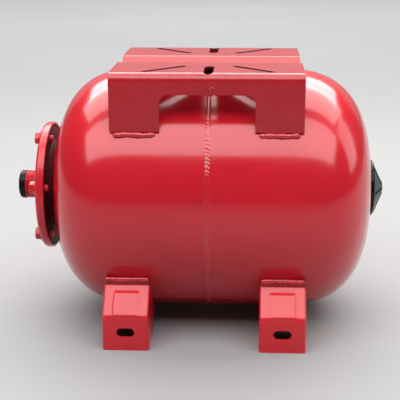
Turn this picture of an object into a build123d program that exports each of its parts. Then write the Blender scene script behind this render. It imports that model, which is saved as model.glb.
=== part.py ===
from build123d import *
from math import asin, cos, hypot, pi, sin, sqrt, tan
import os

os.makedirs("parts", exist_ok=True)

# Horizontal expansion vessel with a bolted membrane flange, an air valve and a pump bracket.
# Millimetres. X runs along the tank from the water flange (-X) to the air valve (+X).
# Z is up from the floor, and X = 0 is midway between the two ends of the object.
# Places along the tank are counted from its seam, outwards, unless a comment says otherwise.

# ---- tank ----
tank_radius = 140.0
sheet = 1.8
axis_height = 149.5
flange_half_length = 183.5
valve_half_length = 186.5
cylinder_half = 84.5
head_steps = 12
head_axial_power = 2.5
head_radial_power = 2.93
joggle_length = 8.0
joggle_gap = 0.1
weld_width = 6.5
weld_height = 1.1

# ---- water end ----
face_reach = 198.8
flange_radius = 75.3
flange_sheet = 2.5
flange_rim_depth = 10.2
flange_bend = 4.0
neck_radius = 50.0
collar_radius = 71.0
collar_thickness = 6.5
collar_gap = 1.0
collar_weld_leg = 3.5
membrane_lip_radius = 58.0
membrane_lip_seat = 2.5
membrane_wall = 2.0
membrane_gap = 0.2
bolt_count = 6
bolt_circle_radius = 64.5
bolt_turn = 11.0
bolt_radius = 4.0
bolt_hole_gap = 0.5
bolt_length = 16.0
bolt_head_height = 5.3
bolt_head_flats = 13.0
washer_radius = 8.0
washer_thickness = 1.6
washer_hole_gap = 0.2
nipple_radius = 16.6
nipple_bore = 12.5
nipple_length = 24.0
nipple_thread_length = 20.6
nipple_root_radius = 15.8
nipple_weld_leg = 3.0
plug_radius = 16.8
plug_head = 7.6
plug_spigot_length = 10.0
plug_round = 3.2
plug_wall = 1.6
plug_fit = 0.08

# ---- air end ----
boss_radius = 12.0
boss_height = 4.0
boss_chamfer = 0.6
boss_recess_floor = 1.5
boss_recess_gap = 1.2
valve_radius = 3.85
valve_reach = 7.0
shank_radius = 4.55
stem_flange_radius = 7.5
stem_flange_thickness = 3.0
valve_seal_thickness = 2.0
core_bore = 2.6
core_length = 9.0
core_recess = 0.8
core_wall_radius = 1.9
core_floor = 3.0
pin_radius = 0.65
pin_fit = 0.06
pin_travel = 1.2
pin_seal_thickness = 1.5
pin_foot_radius = 1.8
pin_foot_length = 2.0
pin_collar_radius = 1.6
pin_collar_length = 0.8
spring_radius = 1.3
spring_wire_radius = 0.2
spring_turns = 4
spring_gap = 0.2
dust_cap_radius = 5.2
dust_cap_height = 6.4
dust_cap_round = 1.0
dust_cap_start = 1.9
dust_cap_groove_count = 12
dust_cap_groove_radius = 0.6
sleeve_wall = 1.8
sleeve_inset = 2.0
press_fit = 0.08
cover_radius = 33.0
cover_wall = 1.6
cover_reach = 17.2
cover_slope = 0.44
cover_tip_ball = 12.0
cover_gap = 0.4
cover_rib_count = 6
cover_rib_width = 3.6
cover_rib_height = 0.9
cover_rib_inner = 5.5
cover_rib_outer = 30.0

# ---- pump bracket ----
plate = 2.5
bracket_length = 210.0
bracket_offset = -1.5
bracket_top = 152.0
bracket_depth = 222.0
bracket_bend = 9.0
leg_bottom = 88.7
cutout_left = 52.5
cutout_right = 51.0
cutout_top = 129.0
cutout_corner = 10.0
groove_half_top = 27.0
groove_half_floor = 16.0
groove_bend = 4.0
groove_gap = 0.1
slot_cut_depth = 10.0
slot_width = 9.0
slot_inner = (26.5, 53.0)
slot_outer = (71.5, 98.0)
cross_slot_width = 10.4
cross_slot_inner = 55.0
cross_slot_outer = 106.5

# ---- feet ----
foot_plate = 2.5
foot_width = 51.2
foot_spacing = 172.4
foot_offset = -3.0
foot_front = 148.0
foot_knee = 110.3
foot_top = (117.4, 76.3)
foot_rear = 101.0
foot_cheek_top = 64.0
foot_slot_length = 20.0
foot_slot_width = 10.4
foot_slot_height = 21.0
foot_pad_width = 24.0
foot_pad_height = 1.5
foot_pad_length = 33.0
foot_tank_gap = 0.1

# ---- weld beads ----
bracket_bead_length = 44.0
foot_bead_length = 42.0
bead_leg = 5.5
bead_crown = 0.62

# The plug's outer end and the valve cover's tip are equally far from X = 0.
plug_end = face_reach + nipple_length + plug_head
seam_x = (plug_end - valve_half_length - cover_reach) / 2
tank_axis = Axis((0, 0, axis_height), (1, 0, 0))
# Local x runs along the tank from the seam, and local y is the radius.
profile_plane = Plane(origin=(seam_x, 0, axis_height), x_dir=(1, 0, 0), z_dir=(0, -1, 0))


def across(reach):
    """Plane square to the tank's axis, at this place from the seam. Local x is Y, local y is Z."""
    return Plane(origin=(seam_x + reach, 0, axis_height), x_dir=(0, 1, 0), z_dir=(1, 0, 0))


def tank_height_at(y):
    """Height above the tank's axis of the cylinder's outside, at this distance from its middle plane."""
    return sqrt(tank_radius**2 - y**2)


def head_points(side, inset):
    """Points of a pressed head from the end of the cylinder to its pole, set in by the wall."""
    length = flange_half_length if side < 0 else valve_half_length
    depth = length - cylinder_half - inset
    points = []
    for step in range(head_steps + 1):
        angle = pi / 2 * step / head_steps
        reach = cylinder_half + depth * sin(angle) ** (2 / head_axial_power)
        radius = (tank_radius - inset) * max(cos(angle), 0) ** (2 / head_radial_power)
        points.append((side * reach, radius if step < head_steps else 0))
    return points


def head_reach(length, radius):
    """How far from the seam the outside of a head is at this radius."""
    share = 1 - (radius / tank_radius) ** head_radial_power
    return cylinder_half + (length - cylinder_half) * share ** (1 / head_axial_power)


# ---- shell halves ----
with BuildPart() as flange_side_shell:
    with BuildSketch(profile_plane):
        with BuildLine():
            outside = head_points(-1, 0)
            inside = head_points(-1, sheet)
            Line((0, tank_radius), outside[0])
            Spline(*outside, tangents=[(-1, 0), (0, -1)])
            Line(outside[-1], inside[-1])
            Spline(*reversed(inside), tangents=[(0, 1), (1, 0)])
            Line(inside[0], (0, tank_radius - sheet))
            Line((0, tank_radius - sheet), (0, tank_radius))
        make_face()
    revolve(axis=tank_axis)
    collar_front = face_reach - flange_sheet - collar_gap
    rebate_floor = collar_front - membrane_lip_seat
    neck_start = head_reach(flange_half_length, neck_radius) - sheet
    with BuildSketch(across(-rebate_floor)):
        Circle(neck_radius)
    extrude(amount=rebate_floor - neck_start)
    with BuildSketch(across(-face_reach)):
        Circle(neck_radius - sheet)
    extrude(amount=face_reach - cylinder_half, mode=Mode.SUBTRACT)

with BuildPart() as valve_side_shell:
    lap_outer = tank_radius - sheet - joggle_gap
    with BuildSketch(profile_plane):
        with BuildLine():
            outside = head_points(1, 0)
            inside = head_points(1, sheet)
            Line((0, tank_radius), outside[0])
            Spline(*outside, tangents=[(1, 0), (0, -1)])
            Line(outside[-1], inside[-1])
            Spline(*reversed(inside), tangents=[(0, 1), (-1, 0)])
            Polyline(
                inside[0],
                (sheet * 2, tank_radius - sheet),
                (0, lap_outer - sheet),
                (-joggle_length, lap_outer - sheet),
                (-joggle_length, lap_outer),
                (0, lap_outer),
                (0, tank_radius),
            )
        make_face()
    revolve(axis=tank_axis)
    with BuildSketch(across(cylinder_half)):
        Circle(boss_radius)
    extrude(amount=valve_half_length, mode=Mode.SUBTRACT)

with BuildPart() as girth_weld:
    with BuildSketch(profile_plane):
        with BuildLine():
            ThreePointArc(
                (-weld_width / 2, tank_radius),
                (0, tank_radius + weld_height),
                (weld_width / 2, tank_radius),
            )
            Line((weld_width / 2, tank_radius), (-weld_width / 2, tank_radius))
        make_face()
    revolve(axis=tank_axis)

# ---- bolted water flange ----
with BuildPart() as mouth_collar:
    with BuildSketch(across(-collar_front)):
        Circle(collar_radius)
        Circle(neck_radius, mode=Mode.SUBTRACT)
        with PolarLocations(bolt_circle_radius, bolt_count, start_angle=180 - bolt_turn):
            Circle(bolt_radius, mode=Mode.SUBTRACT)
    extrude(amount=collar_thickness)
    with BuildSketch(across(-collar_front)):
        Circle(membrane_lip_radius + membrane_gap)
    extrude(amount=collar_front - rebate_floor, mode=Mode.SUBTRACT)

with BuildPart() as collar_weld:
    collar_back = collar_front - collar_thickness
    with BuildSketch(profile_plane):
        with BuildLine():
            Polyline(
                (-collar_back, neck_radius),
                (-collar_back, neck_radius + collar_weld_leg),
                (-collar_back + collar_weld_leg, neck_radius),
                close=True,
            )
        make_face()
    revolve(axis=tank_axis)

with BuildPart() as flange:
    with BuildSketch(across(-face_reach)):
        Circle(flange_radius)
    extrude(amount=flange_rim_depth)
    fillet(flange.edges().filter_by(GeomType.CIRCLE).sort_by(Axis.X)[0], flange_bend)
    with BuildSketch(across(-face_reach + flange_sheet)):
        Circle(flange_radius - flange_sheet)
    extrude(amount=flange_rim_depth, mode=Mode.SUBTRACT)
    with BuildSketch(across(-face_reach)):
        Circle(nipple_root_radius)
        with PolarLocations(bolt_circle_radius, bolt_count, start_angle=180 - bolt_turn):
            Circle(bolt_radius + bolt_hole_gap)
    extrude(amount=flange_sheet, mode=Mode.SUBTRACT)

with BuildPart() as water_nipple:
    with BuildSketch(across(-face_reach - nipple_length)):
        Circle(nipple_radius)
    extrude(amount=nipple_thread_length)
    with BuildSketch(across(-face_reach - nipple_length)):
        Circle(nipple_root_radius)
    extrude(amount=nipple_length + flange_sheet)
    with BuildSketch(across(-face_reach - nipple_length)):
        Circle(nipple_bore)
    extrude(amount=nipple_length + flange_sheet, mode=Mode.SUBTRACT)

with BuildPart() as nipple_weld:
    with BuildSketch(profile_plane):
        with BuildLine():
            Polyline(
                (-face_reach, nipple_root_radius),
                (-face_reach, nipple_root_radius + nipple_weld_leg),
                (-face_reach - nipple_weld_leg, nipple_root_radius),
                close=True,
            )
        make_face()
    revolve(axis=tank_axis)

with BuildPart() as flange_washers:
    with BuildSketch(across(-face_reach - washer_thickness)):
        with PolarLocations(bolt_circle_radius, bolt_count, start_angle=180 - bolt_turn):
            Circle(washer_radius)
            Circle(bolt_radius + washer_hole_gap, mode=Mode.SUBTRACT)
    extrude(amount=washer_thickness)

with BuildPart() as flange_bolts:
    with BuildSketch(across(-face_reach - washer_thickness)):
        with PolarLocations(bolt_circle_radius, bolt_count, start_angle=180 - bolt_turn):
            RegularPolygon(bolt_head_flats / 2, 6, major_radius=False, rotation=30)
    extrude(amount=-bolt_head_height)
    with BuildSketch(across(-face_reach - washer_thickness)):
        with PolarLocations(bolt_circle_radius, bolt_count, start_angle=180 - bolt_turn):
            Circle(bolt_radius)
    extrude(amount=bolt_length)

# ---- membrane ----
bag_radius = tank_radius * 0.78
bag_start = flange_half_length * 0.86
bag_end = valve_half_length * 0.74
bag_steps = 10
bag_power = 2.3
throat = neck_radius - sheet - membrane_gap


def bag_points(inset):
    """Points of the filled bag's half outline, from its throat to its far end."""
    middle = (bag_end - bag_start) / 2
    half = (bag_end + bag_start) / 2 - inset
    widest = bag_radius - inset
    first = asin(((throat - inset) / widest) ** (bag_power / 2))
    points = []
    for step in range(bag_steps + 1):
        angle = first + (pi - first) * step / bag_steps
        reach = abs(cos(angle)) ** (2 / bag_power) * (-1 if cos(angle) > 0 else 1)
        radius = widest * abs(sin(angle)) ** (2 / bag_power)
        points.append((middle + half * reach, radius if step < bag_steps else 0))
    return points


with BuildPart() as membrane:
    lip_face = face_reach - flange_sheet
    bag_outside = bag_points(0)
    bag_inside = bag_points(membrane_wall)
    with BuildSketch(profile_plane):
        with BuildLine():
            Polyline(
                bag_inside[0],
                (-lip_face, throat - membrane_wall),
                (-lip_face, membrane_lip_radius),
                (-rebate_floor, membrane_lip_radius),
                (-rebate_floor, throat),
                bag_outside[0],
            )
            Spline(*bag_outside)
            Line(bag_outside[-1], bag_inside[-1])
            Spline(*reversed(bag_inside))
        make_face()
    revolve(axis=tank_axis)

# ---- nipple plug ----
with BuildPart() as nipple_plug:
    with BuildSketch(across(-plug_end)):
        Circle(plug_radius)
    extrude(amount=plug_head)
    fillet(nipple_plug.edges().filter_by(GeomType.CIRCLE).sort_by(Axis.X)[0], plug_round)
    with BuildSketch(across(-plug_end + plug_head)):
        Circle(nipple_bore - plug_fit)
    extrude(amount=plug_spigot_length)
    chamfer(nipple_plug.edges().filter_by(GeomType.CIRCLE).sort_by(Axis.X)[-1], plug_wall / 2)
    with BuildSketch(across(-plug_end + plug_head)):
        Circle(nipple_bore - plug_fit - plug_wall)
    extrude(amount=plug_spigot_length, mode=Mode.SUBTRACT)

# ---- air valve ----
pole = valve_half_length
boss_top = pole + boss_height
stem_top = pole + valve_reach
boss_bottom = pole - sheet - 1
core_top = stem_top - core_recess
seat = core_top - core_length
boss_floor = pole + boss_recess_floor

with BuildPart() as valve_boss:
    with BuildSketch(across(boss_bottom)):
        Circle(boss_radius)
        Circle(shank_radius, mode=Mode.SUBTRACT)
    extrude(amount=boss_top - boss_bottom)
    outer_edges = valve_boss.edges().filter_by(GeomType.CIRCLE).group_by(Axis.X)[-1]
    chamfer(outer_edges.sort_by(SortBy.RADIUS)[-1], boss_chamfer)
    with BuildSketch(across(boss_floor)):
        Circle(dust_cap_radius + boss_recess_gap)
    extrude(amount=boss_height, mode=Mode.SUBTRACT)

with BuildPart() as valve_stem:
    seal_bottom = boss_bottom - valve_seal_thickness
    stem_bottom = seal_bottom - stem_flange_thickness
    with BuildSketch(across(stem_bottom)):
        Circle(stem_flange_radius)
    extrude(amount=stem_flange_thickness)
    with BuildSketch(across(seal_bottom)):
        Circle(shank_radius)
    extrude(amount=boss_floor - seal_bottom)
    with BuildSketch(across(boss_floor)):
        Circle(valve_radius)
    extrude(amount=stem_top - boss_floor)
    chamfer(valve_stem.edges().filter_by(GeomType.CIRCLE).sort_by(Axis.X)[-1], core_recess / 2)
    with BuildSketch(across(stem_bottom)):
        Circle(core_bore)
    extrude(amount=stem_top - stem_bottom, mode=Mode.SUBTRACT)

with BuildPart() as valve_seal:
    with BuildSketch(across(seal_bottom)):
        Circle(stem_flange_radius)
        Circle(shank_radius, mode=Mode.SUBTRACT)
    extrude(amount=valve_seal_thickness)

with BuildPart() as core_barrel:
    with BuildSketch(across(seat)):
        Circle(core_bore)
        Circle(pin_radius + pin_fit, mode=Mode.SUBTRACT)
    extrude(amount=core_length)
    with BuildSketch(across(seat + core_floor)):
        Circle(core_wall_radius)
    extrude(amount=core_length, mode=Mode.SUBTRACT)

with BuildPart() as valve_pin:
    pin_foot_top = seat - pin_seal_thickness
    collar_start = core_top - pin_collar_length - spring_gap
    with BuildSketch(across(pin_foot_top)):
        Circle(pin_radius)
    extrude(amount=core_top + core_recess / 2 - pin_foot_top)
    with BuildSketch(across(pin_foot_top - pin_foot_length)):
        Circle(pin_foot_radius)
    extrude(amount=pin_foot_length)
    with BuildSketch(across(collar_start)):
        Circle(pin_collar_radius)
    extrude(amount=pin_collar_length)

with BuildPart() as pin_seal:
    with BuildSketch(across(pin_foot_top)):
        Circle(pin_foot_radius + spring_gap)
        Circle(pin_radius, mode=Mode.SUBTRACT)
    extrude(amount=pin_seal_thickness)

with BuildPart() as core_spring:
    spring_start = seat + core_floor + spring_gap
    spring_length = collar_start - spring_gap - pin_travel - spring_start
    with BuildLine() as coil:
        Helix(
            pitch=spring_length / spring_turns,
            height=spring_length,
            radius=spring_radius,
            center=(seam_x + spring_start, 0, axis_height),
            direction=(1, 0, 0),
        )
    with BuildSketch(Plane(origin=coil.line @ 0, z_dir=coil.line % 0)):
        Circle(spring_wire_radius)
    sweep(path=coil.line, is_frenet=True)

with BuildPart() as dust_cap:
    cap_start = pole + dust_cap_start
    with BuildSketch(across(cap_start)):
        Circle(dust_cap_radius)
    extrude(amount=dust_cap_height)
    fillet(dust_cap.edges().filter_by(GeomType.CIRCLE).sort_by(Axis.X)[-1], dust_cap_round)
    with BuildSketch(across(cap_start)):
        Circle(valve_radius + press_fit)
    extrude(amount=stem_top - cap_start + core_recess / 2, mode=Mode.SUBTRACT)
    with BuildSketch(across(cap_start)):
        with PolarLocations(dust_cap_radius + dust_cap_groove_radius / 2, dust_cap_groove_count):
            Circle(dust_cap_groove_radius)
    extrude(amount=dust_cap_height - dust_cap_round * 1.5, mode=Mode.SUBTRACT)

# ---- valve cover ----
cover_base = head_reach(valve_half_length, cover_radius) + cover_gap
cone_top = pole + cover_reach
cone_slant = hypot(1, cover_slope)
tip_edge_radius = cover_tip_ball * cover_slope / cone_slant
tip_drop = cover_tip_ball * (1 - 1 / cone_slant)
cone_base = cone_top - tip_drop - cover_slope * (cover_radius - tip_edge_radius)


def cover_outline(inset):
    """Half outline of the cover, set in by this much: a rim, a flat cone and a round tip."""
    radius = cover_radius - inset
    shoulder = cone_base - inset * cone_slant + cover_slope * inset
    ball = cover_tip_ball - inset
    ball_centre = cone_top - cover_tip_ball
    ball_edge = (ball_centre + ball / cone_slant, ball * cover_slope / cone_slant)
    half_turn = asin(cover_slope / cone_slant) / 2
    with BuildLine() as outline:
        Polyline((ball_centre, 0), (cover_base, 0), (cover_base, radius), (shoulder, radius), ball_edge)
        ThreePointArc(
            ball_edge,
            (ball_centre + ball * cos(half_turn), ball * sin(half_turn)),
            (ball_centre + ball, 0),
        )
        Line((ball_centre + ball, 0), (ball_centre, 0))
    return outline.line


with BuildPart() as cover_ribs:
    with BuildSketch(profile_plane):
        add(cover_outline(-cover_rib_height))
        make_face()
    revolve(axis=tank_axis)
    with BuildSketch(across(cone_base)):
        with PolarLocations(0, cover_rib_count):
            with Locations(((cover_rib_inner + cover_rib_outer) / 2, 0)):
                Rectangle(cover_rib_outer - cover_rib_inner, cover_rib_width)
    extrude(amount=cover_reach * 2, mode=Mode.INTERSECT)

with BuildPart() as valve_cover:
    with BuildSketch(profile_plane):
        add(cover_outline(0))
        make_face()
    revolve(axis=tank_axis)
    add(cover_ribs.part)
    with BuildSketch(profile_plane):
        add(cover_outline(cover_wall))
        make_face()
    revolve(axis=tank_axis, mode=Mode.SUBTRACT)
    # The sleeve that grips the boss ends inside the cone's wall.
    sleeve_outer = boss_radius + sleeve_wall
    sleeve_start = cover_base + sleeve_inset
    sleeve_end = cone_base + cover_slope * (cover_radius - sleeve_outer) - cover_wall / 2
    with BuildSketch(across(sleeve_start)):
        Circle(sleeve_outer)
        Circle(boss_radius + press_fit, mode=Mode.SUBTRACT)
    extrude(amount=sleeve_end - sleeve_start)

# ---- pump bracket ----
half_depth = bracket_depth / 2
bracket_start = seam_x + bracket_offset - bracket_length / 2
bracket_plane = Plane(origin=(bracket_start, 0, axis_height), x_dir=(0, 1, 0), z_dir=(1, 0, 0))
front_plane = Plane(origin=(seam_x, -half_depth, axis_height), x_dir=(1, 0, 0), z_dir=(0, -1, 0))
top_plane = Plane.XY.offset(axis_height + bracket_top)

with BuildPart() as pump_bracket:
    groove_floor = tank_radius + weld_height + plate + groove_gap
    with BuildSketch(bracket_plane):
        with BuildLine():
            FilletPolyline(
                (-half_depth, leg_bottom),
                (-half_depth, bracket_top),
                (-groove_half_top, bracket_top),
                (-groove_half_floor, groove_floor),
                (groove_half_floor, groove_floor),
                (groove_half_top, bracket_top),
                (half_depth, bracket_top),
                (half_depth, leg_bottom),
                radius=[bracket_bend, groove_bend, groove_bend, groove_bend, groove_bend, bracket_bend],
            )
            offset(amount=plate, side=Side.RIGHT)
        make_face()
    extrude(amount=bracket_length)
    with BuildSketch(front_plane):
        with BuildLine():
            FilletPolyline(
                (-cutout_left, 0),
                (-cutout_left, cutout_top),
                (cutout_right, cutout_top),
                (cutout_right, 0),
                radius=[cutout_corner, cutout_corner],
            )
            Line((cutout_right, 0), (-cutout_left, 0))
        make_face()
    extrude(amount=-bracket_depth, mode=Mode.SUBTRACT)
    with BuildSketch(top_plane):
        slot_dx = slot_outer[0] - slot_inner[0]
        slot_dy = slot_outer[1] - slot_inner[1]
        slot_x = (slot_inner[0] + slot_outer[0]) / 2
        slot_y = (slot_inner[1] + slot_outer[1]) / 2
        for side_x in (-1, 1):
            for side_y in (-1, 1):
                with Locations((seam_x + side_x * slot_x, side_y * slot_y)):
                    SlotOverall(hypot(slot_dx, slot_dy), slot_width, rotation=45 * side_x * side_y)
        cross_length = cross_slot_outer - cross_slot_inner
        cross_middle = (cross_slot_outer + cross_slot_inner) / 2
        with Locations((seam_x, -cross_middle), (seam_x, cross_middle)):
            SlotOverall(cross_length, cross_slot_width, rotation=90)
    extrude(amount=-slot_cut_depth, mode=Mode.SUBTRACT)


def fillet_bead(middle, length, root, plate_way, tank_way):
    """A fillet weld along the tank, in the corner between a plate's face and the tank."""
    plate_toe = (root[0] + plate_way[0] * bead_leg, root[1] + plate_way[1] * bead_leg)
    tank_toe = (root[0] + tank_way[0] * bead_leg, root[1] + tank_way[1] * bead_leg)
    crown = (
        root[0] + (plate_way[0] + tank_way[0]) * bead_leg * bead_crown,
        root[1] + (plate_way[1] + tank_way[1]) * bead_leg * bead_crown,
    )
    with BuildPart() as bead:
        with BuildSketch(across(middle - length / 2)):
            with BuildLine():
                Line(root, plate_toe)
                ThreePointArc(plate_toe, crown, tank_toe)
                Line(tank_toe, root)
            make_face()
        extrude(amount=length)
    return bead.part


bracket_beads = []
leg_left = (bracket_start - seam_x - cutout_left) / 2
leg_right = (bracket_start + bracket_length - seam_x + cutout_right) / 2
for middle in (leg_left, leg_right):
    for side in (-1, 1):
        root = (side * half_depth, tank_height_at(half_depth))
        down_tank = (side * root[1] / tank_radius, -half_depth / tank_radius)
        bracket_beads.append(fillet_bead(middle, bracket_bead_length, root, (0, 1), down_tank))

with BuildPart() as bracket_welds:
    add(bracket_beads)

# ---- feet ----
floor = -axis_height
slope_y = foot_front - foot_top[0]
slope_z = foot_knee - foot_top[1]
slope_angle = asin(slope_z / hypot(slope_y, slope_z))
for end_name, end in (("left", -1), ("right", 1)):
    for side_name, side in (("front", -1), ("rear", 1)):
        middle = foot_offset + end * foot_spacing / 2
        cheek_start = across(middle - foot_width / 2)
        with BuildPart() as foot:
            # The solid outline of the whole foot, before its inside is taken out.
            with BuildSketch(cheek_start):
                with BuildLine():
                    Polyline(
                        (side * foot_top[0], -foot_top[1]),
                        (side * foot_front, -foot_knee),
                        (side * foot_front, floor),
                        (side * foot_rear, floor),
                        (side * foot_cheek_top, -tank_height_at(foot_cheek_top) + 1),
                        (0, 0),
                        close=True,
                    )
                make_face()
                Circle(tank_radius + foot_tank_gap, mode=Mode.SUBTRACT)
            extrude(amount=foot_width)
            # The inside, open at the rear and the bottom.
            inner_knee = foot_knee + foot_plate * tan(slope_angle / 2)
            inner_front = foot_front - foot_plate
            inner_top = (
                inner_front - foot_width * cos(slope_angle),
                inner_knee - foot_width * sin(slope_angle),
            )
            with BuildSketch(across(middle - foot_width / 2 + foot_plate)):
                with BuildLine():
                    Polyline(
                        (side * inner_front, floor - 1),
                        (side * inner_front, -inner_knee),
                        (side * inner_top[0], -inner_top[1]),
                        (0, 0),
                        (0, floor - 1),
                        close=True,
                    )
                make_face()
            extrude(amount=foot_width - 2 * foot_plate, mode=Mode.SUBTRACT)
            # The slot in the upright face.
            face_plane = Plane(
                origin=(seam_x + middle, side * foot_front, foot_slot_height),
                x_dir=(1, 0, 0),
                z_dir=(0, side, 0),
            )
            with BuildSketch(face_plane):
                SlotOverall(foot_slot_length, foot_slot_width)
            extrude(amount=-foot_plate * 2, mode=Mode.SUBTRACT)
            # The pressed pad on the sloping face, which runs out at the upright face.
            pad_rise = foot_pad_height / cos(slope_angle)
            pad_top_y = foot_front - foot_pad_length * cos(slope_angle)
            pad_top_z = -foot_knee + foot_pad_length * sin(slope_angle)
            with BuildSketch(across(middle - foot_pad_width / 2)):
                with BuildLine():
                    Polyline(
                        (side * foot_front, -foot_knee),
                        (side * foot_front, -foot_knee + pad_rise),
                        (side * (pad_top_y + foot_pad_height), pad_top_z),
                        (side * pad_top_y, pad_top_z),
                        close=True,
                    )
                make_face()
            extrude(amount=foot_pad_width)
        node_name = f"foot_{side_name}_{end_name}"
        foot.part.label = node_name
        export_step(foot.part, f"parts/{node_name}.step")

foot_beads = []
for end in (-1, 1):
    for side in (-1, 1):
        root = (side * foot_top[0], -foot_top[1])
        down_slope = (side * cos(slope_angle), -sin(slope_angle))
        up_tank = (side * foot_top[1] / tank_radius, foot_top[0] / tank_radius)
        middle = foot_offset + end * foot_spacing / 2
        foot_beads.append(fillet_bead(middle, foot_bead_length, root, down_slope, up_tank))

with BuildPart() as foot_welds:
    add(foot_beads)

# ---- export ----
pieces = {
    "flange_side_shell": flange_side_shell.part,
    "valve_side_shell": valve_side_shell.part,
    "girth_weld": girth_weld.part,
    "mouth_collar": mouth_collar.part,
    "collar_weld": collar_weld.part,
    "flange": flange.part,
    "water_nipple": water_nipple.part,
    "nipple_weld": nipple_weld.part,
    "flange_washers": flange_washers.part,
    "flange_bolts": flange_bolts.part,
    "membrane": membrane.part,
    "nipple_plug": nipple_plug.part,
    "valve_boss": valve_boss.part,
    "valve_stem": valve_stem.part,
    "valve_seal": valve_seal.part,
    "core_barrel": core_barrel.part,
    "valve_pin": valve_pin.part,
    "pin_seal": pin_seal.part,
    "core_spring": core_spring.part,
    "dust_cap": dust_cap.part,
    "valve_cover": valve_cover.part,
    "pump_bracket": pump_bracket.part,
    "bracket_welds": bracket_welds.part,
    "foot_welds": foot_welds.part,
}
for piece_name, piece in pieces.items():
    piece.label = piece_name
    export_step(piece, f"parts/{piece_name}.step")
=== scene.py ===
import math
import random

import bmesh
import bpy
from mathutils import Matrix, Vector


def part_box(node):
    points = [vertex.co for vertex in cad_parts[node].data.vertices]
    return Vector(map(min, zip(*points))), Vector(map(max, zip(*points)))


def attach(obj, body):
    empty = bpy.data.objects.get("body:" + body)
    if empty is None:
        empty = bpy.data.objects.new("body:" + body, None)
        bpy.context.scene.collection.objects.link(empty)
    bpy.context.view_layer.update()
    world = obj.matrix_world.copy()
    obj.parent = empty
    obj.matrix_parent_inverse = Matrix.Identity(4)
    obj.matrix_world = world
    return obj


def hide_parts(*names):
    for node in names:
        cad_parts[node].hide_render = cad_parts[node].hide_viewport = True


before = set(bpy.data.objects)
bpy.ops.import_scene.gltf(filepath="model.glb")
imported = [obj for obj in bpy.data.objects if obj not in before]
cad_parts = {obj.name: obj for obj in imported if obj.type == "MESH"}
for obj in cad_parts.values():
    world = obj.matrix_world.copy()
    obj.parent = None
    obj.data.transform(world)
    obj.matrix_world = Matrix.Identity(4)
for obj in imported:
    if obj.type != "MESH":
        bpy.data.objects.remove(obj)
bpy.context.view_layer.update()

# The visual model of a red horizontal expansion vessel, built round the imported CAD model.
# Metres. X runs along the tank, -Y is the front and Z is up. Lengths are written in millimetres times MM.
MM = 0.001


# ---------------------------------------------------------------- places taken from the frame
def corners(node):
    low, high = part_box(node)
    return Vector(low), Vector(high)


left_low, left_high = corners("flange_side_shell")
right_low, right_high = corners("valve_side_shell")
weld_low, weld_high = corners("girth_weld")
flange_low, flange_high = corners("flange")
plug_low, plug_high = corners("nipple_plug")
nipple_low, nipple_high = corners("water_nipple")
cover_low, cover_high = corners("valve_cover")
plate_low, plate_high = corners("pump_bracket")
washer_low, washer_high = corners("flange_washers")
bolt_low, bolt_high = corners("flange_bolts")

SEAM_X = (weld_low.x + weld_high.x) / 2
AXIS_Z = (left_low.z + left_high.z) / 2
TANK_R = (left_high.z - left_low.z) / 2
VALVE_HALF = right_high.x - SEAM_X
NIPPLE_R = (nipple_high.z - nipple_low.z) / 2
PLATE_HALF_DEPTH = (plate_high.y - plate_low.y) / 2

# The same driving dimensions as in the CAD model, for what a node's box doesn't give.
SHEET = 1.8 * MM
CYLINDER_HALF = 84.5 * MM
FLANGE_HALF = 183.5 * MM
AXIAL_POWER = 2.5
RADIAL_POWER = 2.93
NECK_R = 50 * MM
FLANGE_SHEET = 2.5 * MM
NIPPLE_BORE = 12.5 * MM
BOLT_COUNT = 6
BOLT_TURN = math.radians(11)
BOLT_CIRCLE = 64.5 * MM
BOLT_R = 4.0 * MM
COVER_SLOPE = 0.44
COVER_TIP_BALL = 12.0 * MM
COVER_WALL = 1.6 * MM


# ---------------------------------------------------------------- mesh helpers
def new_object(name, mesh):
    obj = bpy.data.objects.new(name, mesh)
    bpy.context.scene.collection.objects.link(obj)
    return obj


def from_bmesh(name, bm, smooth=True, sharp_angle=35):
    bmesh.ops.recalc_face_normals(bm, faces=bm.faces)
    mesh = bpy.data.meshes.new(name)
    bm.to_mesh(mesh)
    bm.free()
    if smooth:
        mesh.shade_smooth()
        mesh.set_sharp_from_angle(angle=math.radians(sharp_angle))
    return new_object(name, mesh)


def join_rings(bm, rings, loop=False):
    """Quads from each ring of vertices to the next one, and from the last to the first in a loop."""
    following = rings[1:] + (rings[:1] if loop else [])
    for a, b in zip(rings, following):
        for k in range(len(a)):
            j = (k + 1) % len(a)
            bm.faces.new((a[k], a[j], b[j], b[k]))


def prism(name, loops):
    """A flat shaded solid between two matching loops of points."""
    bm = bmesh.new()
    first, last = ([bm.verts.new(point) for point in loop] for loop in loops)
    join_rings(bm, [first, last])
    bm.faces.new(first)
    bm.faces.new(last[::-1])
    return from_bmesh(name, bm, smooth=False)


def on_axis(reach, radius, turn):
    """A point at this X, this far from the tank's axis. Turn 0 is the front (-Y), a quarter turn is up."""
    return Vector((reach, -radius * math.cos(turn), AXIS_Z + radius * math.sin(turn)))


def axis_ring(bm, reach, radius, steps):
    """A ring of vertices round the tank's axis."""
    return [bm.verts.new(on_axis(reach, radius, 2 * math.pi * k / steps)) for k in range(steps)]


def lathe(name, profile, steps=160, closed=True, sharp_angle=35):
    """Turns (x, radius) points about the tank's axis. A closed profile makes a ring-like solid."""
    bm = bmesh.new()
    rings = []
    for reach, radius in profile:
        if radius == 0:
            rings.append([bm.verts.new(on_axis(reach, 0, 0))])
        else:
            rings.append(axis_ring(bm, reach, radius, steps))
    pairs = list(zip(rings, rings[1:]))
    if closed:
        pairs.append((rings[-1], rings[0]))
    for a, b in pairs:
        if len(a) == len(b):
            if len(a) > 1:
                join_rings(bm, [a, b])
            continue
        for k in range(steps):
            j = (k + 1) % steps
            if len(a) == 1:
                bm.faces.new((a[0], b[j], b[k]))
            else:
                bm.faces.new((a[k], a[j], b[0]))
    return from_bmesh(name, bm, sharp_angle=sharp_angle)


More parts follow.
